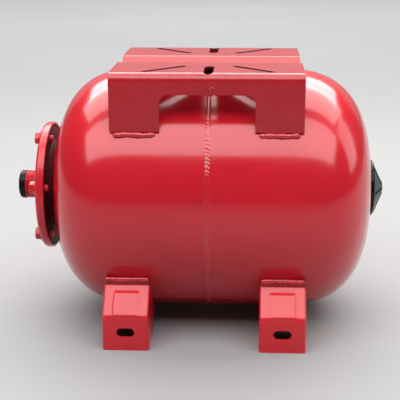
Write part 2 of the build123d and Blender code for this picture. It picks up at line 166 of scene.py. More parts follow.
def arc_points(centre_x, centre_r, radius, start, end, steps=8):
    """Points of an arc in a plane, angles in degrees from its first axis towards the second."""
    points = []
    for k in range(steps + 1):
        angle = math.radians(start + (end - start) * k / steps)
        points.append((centre_x + radius * math.cos(angle), centre_r + radius * math.sin(angle)))
    return points


def smoothstep(low, high, value):
    t = min(max((value - low) / (high - low), 0), 1)
    return t * t * (3 - 2 * t)


def ripple_noise(seed):
    """A smooth repeatable wobble of one number, made of three sine waves."""
    rng = random.Random(seed)
    layers = ((1, 1.0), (2.3, 0.6), (5.1, 0.35))
    waves = [(rng.uniform(0.6, 1.4) * f, rng.uniform(0, 6.28), w) for f, w in layers]
    return lambda t: sum(w * math.sin(f * t + p) for f, p, w in waves) / 1.95


# ---------------------------------------------------------------- materials
def material(name):
    mat = bpy.data.materials.new(name)
    mat.use_nodes = True
    tree = mat.node_tree
    shader = tree.nodes["Principled BSDF"]
    return mat, tree, shader


def add_node(tree, kind, **inputs):
    node = tree.nodes.new(kind)
    for key, value in inputs.items():
        node.inputs[key.replace("_", " ")].default_value = value
    return node


def object_coords(tree):
    return tree.nodes.new("ShaderNodeTexCoord").outputs["Object"]


def noise(tree, scale, detail=3.0, roughness=0.55, coords=None):
    node = add_node(tree, "ShaderNodeTexNoise", Scale=scale, Detail=detail, Roughness=roughness)
    tree.links.new(coords or object_coords(tree), node.inputs["Vector"])
    return node.outputs["Fac"]


def ramp(tree, value, stops):
    node = tree.nodes.new("ShaderNodeValToRGB")
    elements = node.color_ramp.elements
    while len(elements) < len(stops):
        elements.new(0.5)
    for element, (position, colour) in zip(elements, stops):
        element.position = position
        element.color = (*colour, 1)
    tree.links.new(value, node.inputs["Fac"])
    return node.outputs["Color"]


def mix_colour(tree, factor, a, b, blend="MIX"):
    node = tree.nodes.new("ShaderNodeMix")
    node.data_type = "RGBA"
    node.blend_type = blend
    for socket, value in ((node.inputs["Factor"], factor), (node.inputs["A"], a), (node.inputs["B"], b)):
        if isinstance(value, bpy.types.NodeSocket):
            tree.links.new(value, socket)
        elif isinstance(value, tuple):
            socket.default_value = (*value, 1)
        else:
            socket.default_value = value
    return node.outputs["Result"]


def map_range(tree, value, low, high, to_low, to_high):
    node = add_node(tree, "ShaderNodeMapRange", From_Min=low, From_Max=high, To_Min=to_low, To_Max=to_high)
    tree.links.new(value, node.inputs["Value"])
    return node.outputs["Result"]


def product(tree, a, b):
    node = tree.nodes.new("ShaderNodeMath")
    node.operation = "MULTIPLY"
    tree.links.new(a, node.inputs[0])
    tree.links.new(b, node.inputs[1])
    return node.outputs[0]


def bump_chain(tree, shader, layers):
    """Several bumps on top of each other: (height socket, distance in metres, strength)."""
    previous = None
    for height, distance, strength in layers:
        node = add_node(tree, "ShaderNodeBump", Strength=strength, Distance=distance)
        tree.links.new(height, node.inputs["Height"])
        if previous is not None:
            tree.links.new(previous, node.inputs["Normal"])
        previous = node.outputs["Normal"]
    tree.links.new(previous, shader.inputs["Normal"])


def edge_mask(tree, low=0.52, high=0.6):
    """1 on sharp outer edges, from the mesh's pointiness."""
    geometry = tree.nodes.new("ShaderNodeNewGeometry")
    return map_range(tree, geometry.outputs["Pointiness"], low, high, 0, 1)


def powder_coat(name, colour, deep, roughness=0.3, peel=0.00012, wear=0.25, coat=0.25):
    """Glossy red powder coat: slow colour drift, orange peel, dust specks, thin coat on the edges."""
    mat, tree, shader = material(name)
    slow = noise(tree, 7.0, 4.0)
    base = ramp(tree, slow, ((0.32, deep), (0.68, colour)))
    speck = noise(tree, 900.0, 2.0)
    specks = map_range(tree, speck, 0.74, 0.8, 0, 0.35)
    dusty = mix_colour(tree, specks, base, tuple(0.45 * c + 0.12 for c in colour))
    worn = edge_mask(tree)
    patchy = map_range(tree, noise(tree, 60.0, 5.0), 0.45, 0.62, 0, wear)
    thin = tuple(min(1, c * 1.35 + 0.03) for c in colour)
    painted = mix_colour(tree, product(tree, worn, patchy), dusty, thin)
    tree.links.new(painted, shader.inputs["Base Color"])
    cloudy = noise(tree, 22.0, 4.0)
    rough = map_range(tree, cloudy, 0.3, 0.7, roughness - 0.035, roughness + 0.05)
    tree.links.new(rough, shader.inputs["Roughness"])
    shader.inputs["IOR"].default_value = 1.45
    shader.inputs["Coat Weight"].default_value = coat
    shader.inputs["Coat Roughness"].default_value = 0.09
    waves = noise(tree, 420.0, 2.0)
    fine = noise(tree, 1500.0, 1.0)
    bump_chain(tree, shader, ((waves, peel, 0.35), (fine, peel * 0.4, 0.25), (speck, peel * 0.7, 0.2)))
    return mat


def black_plastic(name):
    """Moulded black plastic: faint mottling, scuffed edges and a fine grain."""
    mat, tree, shader = material(name)
    drift = noise(tree, 30.0, 4.0)
    base = ramp(tree, drift, ((0.3, (0.0012, 0.0035, 0.0045)), (0.7, (0.003, 0.007, 0.009))))
    scuffed = map_range(tree, noise(tree, 160.0, 6.0), 0.58, 0.72, 0, 0.3)
    scuffs = product(tree, scuffed, edge_mask(tree, 0.51, 0.58))
    colour = mix_colour(tree, scuffs, base, (0.07, 0.08, 0.085))
    tree.links.new(colour, shader.inputs["Base Color"])
    rough = map_range(tree, noise(tree, 90.0, 4.0), 0.3, 0.7, 0.2, 0.32)
    tree.links.new(rough, shader.inputs["Roughness"])
    shader.inputs["IOR"].default_value = 1.4
    shader.inputs["Specular IOR Level"].default_value = 0.22
    grain = noise(tree, 1400.0, 3.0)
    waves = noise(tree, 110.0, 2.0)
    bump_chain(tree, shader, ((grain, 0.00003, 0.3), (waves, 0.0001, 0.15)))
    return mat


def rubber(name, tint):
    """Dull rubber with uneven tone and a rough skin."""
    mat, tree, shader = material(name)
    base = ramp(tree, noise(tree, 45.0, 5.0), ((0.3, tuple(c * 0.7 for c in tint)), (0.7, tint)))
    tree.links.new(base, shader.inputs["Base Color"])
    rough = map_range(tree, noise(tree, 120.0, 4.0), 0.3, 0.7, 0.62, 0.8)
    tree.links.new(rough, shader.inputs["Roughness"])
    bump_chain(tree, shader, ((noise(tree, 800.0, 4.0), 0.0001, 0.5),))
    return mat


def turned_metal(name, dark, light, low_rough, high_rough):
    """Turned or drawn metal: fine rings along X, stains, and some scatter in the roughness."""
    mat, tree, shader = material(name)
    coords = object_coords(tree)
    stretch = tree.nodes.new("ShaderNodeMapping")
    stretch.inputs["Scale"].default_value = (3500.0, 40.0, 40.0)
    tree.links.new(coords, stretch.inputs["Vector"])
    rings = noise(tree, 1.0, 3.0, coords=stretch.outputs["Vector"])
    stain = noise(tree, 260.0, 4.0)
    base = ramp(tree, stain, ((0.3, dark), (0.7, light)))
    tree.links.new(base, shader.inputs["Base Color"])
    shader.inputs["Metallic"].default_value = 1.0
    rough = map_range(tree, stain, 0.3, 0.7, low_rough, high_rough)
    tree.links.new(rough, shader.inputs["Roughness"])
    bump_chain(tree, shader, ((rings, 0.00003, 0.4),))
    return mat


# Each red coat: colour, deeper colour, roughness, orange peel, edge wear, clear coat.
red_shell = powder_coat(
    "red_shell_coat", (0.54, 0.010, 0.022), (0.48, 0.0080, 0.018), roughness=0.19, coat=0.42
)
# A darker copy of the shell's red: painted shade, for the upright skirts that the light from above reaches
# less.
red_bracket = powder_coat(
    "red_bracket_coat", (0.385, 0.0080, 0.015), (0.35, 0.006, 0.013), roughness=0.22, peel=0.00015, coat=0.35
)
# A lighter copy of the shell's red: painted light, for the floor's bounce on the feet's lower faces.
red_foot = powder_coat(
    "red_foot_coat", (0.63, 0.011, 0.021), (0.57, 0.009, 0.018), roughness=0.27, peel=0.00015, coat=0.35
)
red_flange = powder_coat(
    "red_flange_coat", (0.56, 0.011, 0.024), (0.49, 0.008, 0.019), roughness=0.3
)
red_weld = powder_coat(
    "red_weld_coat", (0.53, 0.010, 0.020), (0.44, 0.007, 0.016),
    roughness=0.15, peel=0.00015, wear=0.4, coat=0.8,
)
red_fastener = powder_coat(
    "red_fastener_coat", (0.54, 0.011, 0.022), (0.46, 0.008, 0.018), roughness=0.28, peel=0.0001, wear=0.6
)
# A darker copy of the red paint: painted shade, for the feet's upright lips under their beads.
red_painted_corner_shade = powder_coat(
    "red_corner_painted_shade_coat", (0.25, 0.006, 0.013), (0.17, 0.004, 0.009),
    roughness=0.42, peel=0.0002, wear=0.1, coat=0,
)
# A dark copy of the red paint: painted shade, for slot walls, the neck behind the flange and the collar.
red_painted_shade = powder_coat(
    "red_painted_shade_coat", (0.115, 0.004, 0.009), (0.07, 0.003, 0.006),
    roughness=0.55, peel=0.0002, wear=0.1, coat=0,
)
plastic = black_plastic("black_moulded_plastic")
membrane_rubber = rubber("membrane_epdm", (0.022, 0.022, 0.024))
seal_rubber = rubber("seal_rubber_black", (0.03, 0.028, 0.027))
brass = turned_metal("turned_brass", (0.50, 0.33, 0.11), (0.78, 0.58, 0.25), 0.22, 0.38)
steel = turned_metal("drawn_steel", (0.42, 0.42, 0.43), (0.66, 0.65, 0.63), 0.2, 0.36)

MATERIALS = {
    "red_shell": red_shell,
    "red_bracket": red_bracket,
    "red_foot": red_foot,
    "red_flange": red_flange,
    "red_weld": red_weld,
    "red_fastener": red_fastener,
    "black_plastic": plastic,
    "membrane_rubber": membrane_rubber,
    "seal_rubber": seal_rubber,
    "valve_brass": brass,
    "valve_steel": steel,
}


def finish_piece(obj, body, slot_name, *replaced):
    """Gives a new piece the material named by its slot, puts it in its body and hides the CAD nodes that it
    stands for.
    """
    obj.data.materials.clear()
    obj.data.materials.append(MATERIALS[slot_name])
    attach(obj, body)
    if replaced:
        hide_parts(*replaced)
    return obj


def paint_shade_on(obj, inside, coat=red_painted_shade):
    """Painted shade: a dark coat on the faces where shade falls, in recesses and corners; inside(centre,
    normal) picks them.
    """
    obj.data.materials.append(coat)
    for polygon in obj.data.polygons:
        if inside(polygon.center, polygon.normal):
            polygon.material_index = 1
    return obj


def bevelled(obj, width, segments=2, angle=30):
    bevel = obj.modifiers.new("edges", "BEVEL")
    bevel.width = width
    bevel.segments = segments
    bevel.limit_method = "ANGLE"
    bevel.angle_limit = math.radians(angle)
    bevel.harden_normals = False
    return obj


# ---------------------------------------------------------------- tank halves
def head_profile(length, inset, steps=56):
    """(reach, radius) along a pressed head, from the end of the cylinder to the pole."""
    depth = length - CYLINDER_HALF - inset
    points = []
    for k in range(steps + 1):
        angle = math.pi / 2 * k / steps
        reach = CYLINDER_HALF + depth * math.sin(angle) ** (2 / AXIAL_POWER)
        radius = (TANK_R - inset) * max(math.cos(angle), 0) ** (2 / RADIAL_POWER)
        points.append((reach, radius if k < steps else 0))
    return points


def head_reach(length, radius):
    share = 1 - (radius / TANK_R) ** RADIAL_POWER
    return CYLINDER_HALF + (length - CYLINDER_HALF) * share ** (1 / AXIAL_POWER)


STEP_DEPTH = 0.25 * MM
STEP_START = 4.5 * MM
STEP_END = 13.0 * MM


def seam_relief(reach):
    """The shells draw in a little beside the weld, where the one is joggled into the other."""
    return STEP_DEPTH * (1 - smoothstep(STEP_START, STEP_END, reach))


STRAIGHT_STOPS = (0, 3, 4.5, 6, 7.5, 9, 11, 14, 22, 35, 50, 68)


def straight_profile(outer):
    """The cylinder from the seam to the head, with the slight step beside the weld."""
    return [(s * MM, TANK_R - (seam_relief(s * MM) if outer else SHEET)) for s in STRAIGHT_STOPS]


NECK_BEND = 3.5 * MM


def shell_piece(name, side, length, opening, node, neck=None):
    """A tank half with a round opening in its head, and a neck on it if one is given."""
    outer = straight_profile(True) + [p for p in head_profile(length, 0) if p[1] > opening]
    inner = straight_profile(False) + [p for p in head_profile(length, SHEET) if p[1] > opening - SHEET]
    base = head_reach(length, opening)
    loop = list(outer)
    if neck:
        loop.append((base - 0.2 * MM, opening + NECK_BEND * 0.9))
        loop.append((base + NECK_BEND * 0.35, opening + NECK_BEND * 0.3))
        loop += [(base + NECK_BEND, opening), (neck, opening), (neck, opening - SHEET)]
    else:
        loop += [(base, opening), (base - SHEET, opening)]
    loop += list(reversed(inner))
    profile = [(SEAM_X + side * reach, radius) for reach, radius in loop]
    return finish_piece(lathe(name, profile, 224), "vessel", "red_shell", node)


def shaded_behind_flange(centre, normal):
    """Where painted shade goes: the neck and the part of the head that the flange hides."""
    near_axis = math.hypot(centre.y, centre.z - AXIS_Z) < NECK_R + 6 * MM
    return near_axis and centre.x < SEAM_X - FLANGE_HALF * 0.9


def everywhere(centre, normal):
    return True


neck_reach = SEAM_X - left_low.x
water_half = shell_piece("tank_half_water_side", -1, FLANGE_HALF, NECK_R, "flange_side_shell", neck_reach)
# Painted shade on the neck and on the head behind the flange.
paint_shade_on(water_half, shaded_behind_flange)
boss_low, boss_high = corners("valve_boss")
boss_radius = (boss_high.z - boss_low.z) / 2
shell_piece("tank_half_air_side", 1, VALVE_HALF, boss_radius, "valve_side_shell")


BEAD_SCALES = 215
BEAD_SINK = 0.1 * MM
BEAD_DRIFT = 0.25 * MM


def girth_bead():
    """The weld round the tank: a low crown whose scales overlap, with small uneven edges."""
    bm = bmesh.new()
    around = 1720
    across_steps = 12
    half = (weld_high.x - weld_low.x) / 2
    height = (weld_high.z - weld_low.z) / 2 - TANK_R
    foot_radius = TANK_R - STEP_DEPTH - BEAD_SINK
    wander = ripple_noise(3)
    uneven = ripple_noise(8)
    rings = []
    for k in range(around):
        turn = 2 * math.pi * k / around
        phase = (k / around * BEAD_SCALES + 0.6 * uneven(turn * 6) + 0.25 * wander(turn * 15)) % 1
        lift = 0.88 + 0.12 * uneven(turn * 23)
        depth = 0.55 + 0.25 * wander(turn * 13)
        width = half * (0.93 + 0.05 * uneven(turn * 9) + 0.05 * math.cos(2 * math.pi * phase))
        shift = BEAD_DRIFT * wander(turn * 3)
        ring = []
        for j in range(across_steps + 1):
            s = -1 + 2 * j / across_steps
            scale = 1 - depth * ((phase + 0.4 * s * s + 0.3 * s) % 1) ** 1.3
            crown = (1 - abs(s) ** 2.6) * height * lift * scale
            ring.append(bm.verts.new(on_axis(SEAM_X + shift + s * width, foot_radius + crown, turn)))
        rings.append(ring)
    join_rings(bm, rings, loop=True)
    return finish_piece(from_bmesh("girth_weld_bead", bm, sharp_angle=60), "vessel", "red_weld", "girth_weld")


girth_bead()


# ---------------------------------------------------------------- water flange, nipple and plug
FLANGE_BEND = 4.5 * MM
RIM_ROUND = 0.7 * MM
FACE_RINGS = (24 * MM, 40 * MM, 56 * MM)


def flange_cup():
    """The pressed cup: a flat face, a soft outer bend and a turned-back rim."""
    face = flange_low.x
    back = flange_high.x
    radius = (flange_high.z - flange_low.z) / 2
    centre_x = face + FLANGE_BEND
    centre_r = radius - FLANGE_BEND
    profile = [(face, r) for r in (NIPPLE_BORE, *FACE_RINGS, centre_r - 2 * MM)]
    profile += arc_points(centre_x, centre_r, FLANGE_BEND, 180, 90, 10)
    profile += [(back - RIM_ROUND, radius), (back - 0.2 * MM, radius - 0.2 * MM), (back, radius - RIM_ROUND)]
    profile += [(back, radius - FLANGE_SHEET + 0.6 * MM), (back - 0.5 * MM, radius - FLANGE_SHEET)]
    profile += arc_points(centre_x, centre_r, FLANGE_BEND - FLANGE_SHEET, 90, 180, 6)
    profile += [(face + FLANGE_SHEET, FACE_RINGS[1]), (face + FLANGE_SHEET, NIPPLE_BORE)]
    return finish_piece(lathe("flange_cup", profile, 192), "vessel", "red_flange", "flange")


flange_cup()

THREAD_PITCH = 2.309 * MM
THREAD_DEPTH = 1.25 * MM
THREAD_START = 1.6 * MM
THREAD_RUN_OUT = 3.2 * MM
THREAD_END = 1.2 * MM
LEAD_CHAMFER = 0.9 * MM


def threaded_nipple():
    """Male pipe thread with rounded crests, a plain lead at both ends and the water bore."""
    start = nipple_low.x
    end = flange_low.x
    around = 96
    along = 150
    bm = bmesh.new()
    thread = []
    for i in range(along + 1):
        x = start + (end - start) * i / along
        fade = smoothstep(0, THREAD_START, x - start) * smoothstep(0, THREAD_RUN_OUT, end - THREAD_END - x)
        lead = LEAD_CHAMFER * (1 - smoothstep(0, THREAD_END, x - start))
        ring = []
        for k in range(around):
            wave = 0.5 - 0.5 * math.cos(2 * math.pi * ((x - start) / THREAD_PITCH - k / around))
            cut = THREAD_DEPTH * wave**1.15 * fade
            ring.append(bm.verts.new(on_axis(x, NIPPLE_R - cut - lead, 2 * math.pi * k / around)))
        thread.append(ring)
    bore_front = axis_ring(bm, start, NIPPLE_BORE, around)
    bore_back = axis_ring(bm, nipple_high.x, NIPPLE_BORE, around)
    outer_back = axis_ring(bm, nipple_high.x, NIPPLE_R, around)
    join_rings(bm, [bore_back, bore_front, *thread, outer_back], loop=True)
    piece = from_bmesh("threaded_nipple", bm, sharp_angle=50)
    return finish_piece(piece, "vessel", "red_flange", "water_nipple")


threaded_nipple()

ROOT_INSET = 0.2 * MM


def ring_bead(name, x, radius, size, side, node, seed, scales):
    """A fillet weld round the tank's axis, in the corner between a face at X and a tube's radius."""
    bm = bmesh.new()
    around = 240
    steps = 6
    wobble = ripple_noise(seed)
    rings = []
    for k in range(around):
        turn = 2 * math.pi * k / around
        phase = (turn * scales / (2 * math.pi)) % 1
        grow = size * (0.82 + 0.1 * wobble(turn * 6) + 0.12 * (1 - phase))
        ring = []
        for j in range(steps + 1):
            s = j / steps
            bulge = 0.62 + 0.08 * math.sin(math.pi * s)
            reach = grow * (bulge + (1 - bulge) * abs(2 * s - 1))
            dx = reach * math.cos(math.pi / 2 * s)
            dr = reach * math.sin(math.pi / 2 * s)
            ring.append(bm.verts.new(on_axis(x + side * dx, radius + dr, turn)))
        ring.append(bm.verts.new(on_axis(x - side * ROOT_INSET, radius - ROOT_INSET, turn)))
        rings.append(ring)
    join_rings(bm, rings, loop=True)
    return finish_piece(from_bmesh(name, bm, sharp_angle=60), "vessel", "red_weld", node)


ring_bead("nipple_weld_bead", flange_low.x, NIPPLE_R, 2.9 * MM, -1, "nipple_weld", seed=5, scales=26)
collar_face = corners("collar_weld")[0].x
# Painted shade over the whole collar bead, which the flange hides.
paint_shade_on(
    ring_bead("collar_weld_bead", collar_face, NECK_R, 3.3 * MM, 1, "collar_weld", seed=11, scales=60),
    everywhere,
)

PLUG_ROUND = 3.6 * MM
PLUG_GAP = 0.05 * MM
PLUG_DISH = 0.7 * MM
PLUG_WALL = 1.6 * MM
SPIGOT_R = NIPPLE_BORE - 0.12 * MM


def plug():
    """The protective plug: a rounded head with a shallow dish, and its hollow spigot."""
    face = plug_low.x
    tip = plug_high.x
    radius = (plug_high.z - plug_low.z) / 2
    back = nipple_low.x - PLUG_GAP
    profile = [(face + PLUG_DISH, 0), (face + PLUG_DISH, 8.5 * MM)]
    profile += [(face + 0.5 * MM, 10 * MM), (face, 11 * MM)]
    profile += arc_points(face + PLUG_ROUND, radius - PLUG_ROUND, PLUG_ROUND, 180, 90, 10)
    profile += [(back - 0.5 * MM, radius), (back - 0.1 * MM, radius - 0.15 * MM), (back, radius - 0.6 * MM)]
    profile += [(back, SPIGOT_R), (tip - 0.8 * MM, SPIGOT_R), (tip, SPIGOT_R - 0.8 * MM)]
    profile += [(tip, SPIGOT_R - PLUG_WALL), (back + 0.5 * MM, SPIGOT_R - PLUG_WALL - 0.2 * MM), (back, 0)]
    mesh = lathe("protective_plug", profile, 128, closed=False)
    return finish_piece(mesh, "nipple_plug", "black_plastic", "nipple_plug")


plug()


# ---------------------------------------------------------------- flange screws
SCREW_HALF_FLATS = 6.5 * MM
SCREW_CORNER = SCREW_HALF_FLATS / math.cos(math.pi / 6) * 0.985


def bolt_turns():
    return [BOLT_TURN + 2 * math.pi / BOLT_COUNT * k for k in range(BOLT_COUNT)]


def hexagon(angle):
    """The radius of a hexagon with slightly rounded corners, at this angle."""
    wedge = (angle % (math.pi / 3)) - math.pi / 6
    return min(SCREW_HALF_FLATS / math.cos(wedge), SCREW_CORNER)


def screw(bm, turn, seed):
    """One hexagon screw: chamfered head with a dished top, a round seat and its shank."""
    twist = random.Random(seed).uniform(-0.35, 0.35)
    seat = washer_low.x
    top = bolt_low.x
    tip = bolt_high.x
    flats = SCREW_HALF_FLATS
    origin = on_axis(0, BOLT_CIRCLE, turn)
    around = 72

    def ring(x_at, radius_at):
        verts = []
        for k in range(around):
            angle = 2 * math.pi * k / around
            radius = radius_at(angle)
            y = origin.y + radius * math.cos(angle + twist)
            z = origin.z + radius * math.sin(angle + twist)
            verts.append(bm.verts.new(Vector((x_at(radius), y, z))))
        return verts

    def round_ring(x, radius):
        return ring(lambda r: x, lambda angle: radius)

    rings = [
        round_ring(top + 0.35 * MM, 3.6 * MM),
        round_ring(top + 0.05 * MM, 4.4 * MM),
        round_ring(top, flats * 0.93),
        ring(lambda r: top + 0.16 * MM + (r - flats) * 0.58, hexagon),
        ring(lambda r: seat - 0.45 * MM, hexagon),
        ring(lambda r: seat - 0.3 * MM, lambda angle: min(hexagon(angle), flats * 0.97)),
        round_ring(seat, flats * 0.96),
        round_ring(seat, BOLT_R),
        round_ring(tip - 0.8 * MM, BOLT_R),
        round_ring(tip, BOLT_R - 0.8 * MM),
    ]
    bm.faces.new(rings[0])
    join_rings(bm, rings)
    bm.faces.new(rings[-1])


def screws():
    bm = bmesh.new()
    for index, turn in enumerate(bolt_turns()):
        screw(bm, turn, 20 + index)
    piece = from_bmesh("flange_screws", bm, sharp_angle=28)
    return finish_piece(piece, "vessel", "red_fastener", "flange_bolts")


screws()


def washers():
    """Six washers: a bore a little wider than the screw, and a rounded upper edge."""
    bm = bmesh.new()
    around = 64
    low, high = washer_low.x, washer_high.x
    outline = [(high, 4.2), (low + 0.1 * MM, 4.2), (low, 4.4), (low, 7.6)]
    outline += [(low + 0.3 * MM, 7.95), (high, 8.0)]
    for turn in bolt_turns():
        origin = on_axis(0, BOLT_CIRCLE, turn)
        rings = []
        for x, radius in outline:
            ring = []
            for k in range(around):
                angle = 2 * math.pi * k / around
                y = origin.y + radius * MM * math.cos(angle)
                z = origin.z + radius * MM * math.sin(angle)
                ring.append(bm.verts.new(Vector((x, y, z))))
            rings.append(ring)
        join_rings(bm, rings, loop=True)
    return finish_piece(from_bmesh("screw_washers", bm), "vessel", "red_fastener", "flange_washers")


washers()


# ---------------------------------------------------------------- valve cover
COVER_SLANT = math.hypot(1, COVER_SLOPE)
RIB_SPACING = math.pi / 3
RIB_HEIGHT = 0.95 * MM
RIB_HALF = (0.9 * MM, 2.1 * MM)
RIB_GROOVE = 0.6 * MM
RIB_START = (4.2 * MM, 8 * MM)
RIB_END = (29 * MM, 31.4 * MM)
COVER_RADII = (
    0.8, 2, 3.2, 4.2, 5, 6, 7, 8, 10, 12, 14, 17, 20, 23, 26, 28, 29, 30, 30.8, 31.4, 32.0, 32.5
)
SLEEVE_GAP = 0.1 * MM
SLEEVE_WALL = 1.7 * MM


def cover_rib(r, turn):
    """Height of the six ribs over the cone: rounded, with a faint groove, run out at both ends."""
    across = abs(((turn + RIB_SPACING / 2) % RIB_SPACING) - RIB_SPACING / 2) * r
    profile = 1 - smoothstep(*RIB_HALF, across)
    groove = 1 - 0.55 * (1 - smoothstep(0, RIB_GROOVE, across))
    return RIB_HEIGHT * profile * groove * smoothstep(*RIB_START, r) * (1 - smoothstep(*RIB_END, r))


def valve_cover():
    """Moulded cone cover: rim, six rounded ribs that run out near the tip, and an inner sleeve."""
    rim_x = cover_low.x
    tip_x = cover_high.x
    radius = (cover_high.z - cover_low.z) / 2
    edge_radius = COVER_TIP_BALL * COVER_SLOPE / COVER_SLANT
    edge_x = tip_x - COVER_TIP_BALL * (1 - 1 / COVER_SLANT)
    shoulder_x = edge_x - COVER_SLOPE * (radius - edge_radius)
    around = 240

    def cone(r):
        return shoulder_x + COVER_SLOPE * (radius - r)

    def skin(r):
        if r > edge_radius:
            return cone(r)
        return tip_x - COVER_TIP_BALL + math.sqrt(COVER_TIP_BALL**2 - r**2)

    bm = bmesh.new()
    tip = bm.verts.new(on_axis(tip_x - 0.02 * MM, 0, 0))
    rings = []
    for r in (value * MM for value in COVER_RADII):
        soft = 0.35 * MM * smoothstep(31.4 * MM, 32.5 * MM, r)
        ring = []
        for k in range(around):
            turn = 2 * math.pi * k / around
            ring.append(bm.verts.new(on_axis(skin(r) - soft + cover_rib(r, turn) / COVER_SLANT, r, turn)))
        rings.append(ring)
    sleeve = boss_radius + SLEEVE_GAP
    under = COVER_WALL * COVER_SLANT
    rest = [
        (shoulder_x - 0.35 * MM, radius - 0.08 * MM),
        (shoulder_x - 0.9 * MM, radius),
        (rim_x + 0.4 * MM, radius),
        (rim_x, radius - 0.4 * MM),
        (rim_x, radius - COVER_WALL + 0.3 * MM),
        (rim_x + 0.3 * MM, radius - COVER_WALL),
        (shoulder_x - COVER_WALL * 0.7, radius - COVER_WALL),
        (cone(sleeve + SLEEVE_WALL + 0.1 * MM) - under, sleeve + SLEEVE_WALL + 0.1 * MM),
        (rim_x + 2.2 * MM, sleeve + SLEEVE_WALL),
        (rim_x + 2.0 * MM, sleeve + 0.3 * MM),
        (rim_x + 2.4 * MM, sleeve),
        (cone(sleeve) - under, sleeve),
        (edge_x - under, edge_radius),
    ]
    rings += [axis_ring(bm, x, r, around) for x, r in rest]
    inside = bm.verts.new(on_axis(tip_x - COVER_WALL, 0, 0))
    for k in range(around):
        j = (k + 1) % around
        bm.faces.new((tip, rings[0][k], rings[0][j]))
        bm.faces.new((inside, rings[-1][j], rings[-1][k]))
    join_rings(bm, rings)
    piece = from_bmesh("valve_cone_cover", bm, sharp_angle=40)
    return finish_piece(piece, "valve_cover", "black_plastic", "valve_cover")


valve_cover()


# ---------------------------------------------------------------- weld beads under plates
def bead_tube(bm, start, end, outwards, radius, seed, scale_length=3.4 * MM):
    """A lumpy round weld bead from start to end. Its wobble is mostly along the outward way."""
    length = (end - start).length
    steps = int(length / (0.4 * MM))
    around = 20
    lumps = ripple_noise(seed)
    rough = ripple_noise(seed + 1)
    out = outwards.normalized()
    other = (end - start).normalized().cross(out)
    rings = []
    for i in range(steps + 1):
        t = i / steps
        inset = min(t, 1 - t) * length
        tip = math.sqrt(max(0.03, 1 - (1 - min(1, inset / (1.3 * radius))) ** 2))
        phase = (t * length / scale_length + 0.25 * rough(t * 18)) % 1
        local = radius * tip * (0.84 + 0.13 * lumps(t * 15) + 0.14 * (1 - phase) ** 1.5)
        middle = start.lerp(end, t) + out * (0.16 * radius * rough(t * 11))
        middle += other * (0.1 * radius * lumps(t * 8 + 3))
        ring = []
        for j in range(around):
            angle = 2 * math.pi * j / around
            swing = out * local * math.cos(angle) + other * local * math.sin(angle)
            ring.append(bm.verts.new(middle + swing))
        rings.append(ring)
    join_rings(bm, rings)
    bm.faces.new(rings[0])
    bm.faces.new(rings[-1][::-1])


def spatter(bm, places, size, seed):
    """Small round drops of weld spatter, painted over."""
    rng = random.Random(seed)
    for point, normal in places:
        drop = size * rng.uniform(0.5, 1.2)
        matrix = Matrix.Translation(point + normal * drop * 0.1)
        matrix = matrix @ normal.to_track_quat("Z", "Y").to_matrix().to_4x4()
        matrix = matrix @ Matrix.Diagonal((drop, drop, drop * 0.55, 1))
        bmesh.ops.create_icosphere(bm, subdivisions=2, radius=1.0, matrix=matrix)


LEG_ROOT_Z = math.sqrt(TANK_R**2 - PLATE_HALF_DEPTH**2)
CUTOUT_LEFT = SEAM_X - 52.5 * MM
CUTOUT_RIGHT = SEAM_X + 51.0 * MM
BEAD_MARGIN = 4.0 * MM
# A small curl of spatter on the front skirt: places right of the seam and above the axis, in mm.
CURL_PLACES = ((0.8, 136.4), (3.4, 138.2))


def bracket_beads():
    """The four beads under the plate's legs, with spatter beside them."""
    bm = bmesh.new()
    seed = 40
    for low, high in ((plate_low.x, CUTOUT_LEFT), (CUTOUT_RIGHT, plate_high.x)):
        for side in (-1, 1):
            out = side * (PLATE_HALF_DEPTH + 0.4 * MM)
            up = AXIS_Z + LEG_ROOT_Z + 0.2 * MM
            start = Vector((low + BEAD_MARGIN, out, up))
            end = Vector((high - BEAD_MARGIN, out, up))
            bead_tube(bm, start, end, Vector((0, side, -0.35)), 3.3 * MM, seed)
            rng = random.Random(seed + 7)
            places = []
            for _ in range(7):
                turn = math.atan2(LEG_ROOT_Z, PLATE_HALF_DEPTH) - rng.uniform(0.05, 0.12)
                x = rng.uniform(low, high)
                normal = Vector((0, side * math.cos(turn), math.sin(turn)))
                places.append((Vector((x, 0, AXIS_Z)) + normal * TANK_R, normal))
            spatter(bm, places, 0.55 * MM, seed + 9)
            seed += 3
    for reach, height in CURL_PLACES:
        start = Vector((SEAM_X + reach * MM, plate_low.y, AXIS_Z + height * MM))
        end = start + Vector((3.8 * MM, 0, -2.8 * MM))
        bead_tube(bm, start, end, Vector((0, -1, 0)), 0.9 * MM, seed)
        seed += 1
    piece = from_bmesh("bracket_weld_beads", bm, sharp_angle=70)
    return finish_piece(piece, "vessel", "red_weld", "bracket_welds")


bracket_beads()

# ---------------------------------------------------------------- feet
EDGE_BEVEL = 0.35 * MM
FOOT_PLATE = 2.5 * MM
FOOT_TOP = (117.4 * MM, 76.3 * MM)
FOOT_KNEE = 110.3 * MM
FOOT_REAR = 101.0 * MM
CHEEK_TOP = 64.0 * MM
FOOT_SLOT = (20.0 * MM, 10.4 * MM, 21.0 * MM)
PAD_WIDTH = 24.0 * MM
PAD_DRAFT = 4.0 * MM
PAD_HEIGHT = 1.5 * MM
PAD_FADE = (27 * MM, 32 * MM)
LIP_HEIGHT = 8.5 * MM
LIP_START = AXIS_Z - FOOT_TOP[1] - LIP_HEIGHT * math.sin(math.radians(48))
FOOT_FRONT = corners("foot_rear_left")[1].y
FOOT_ROUND = 3.2 * MM
EDGE_STEPS = 6
FLAT_STEPS = 56


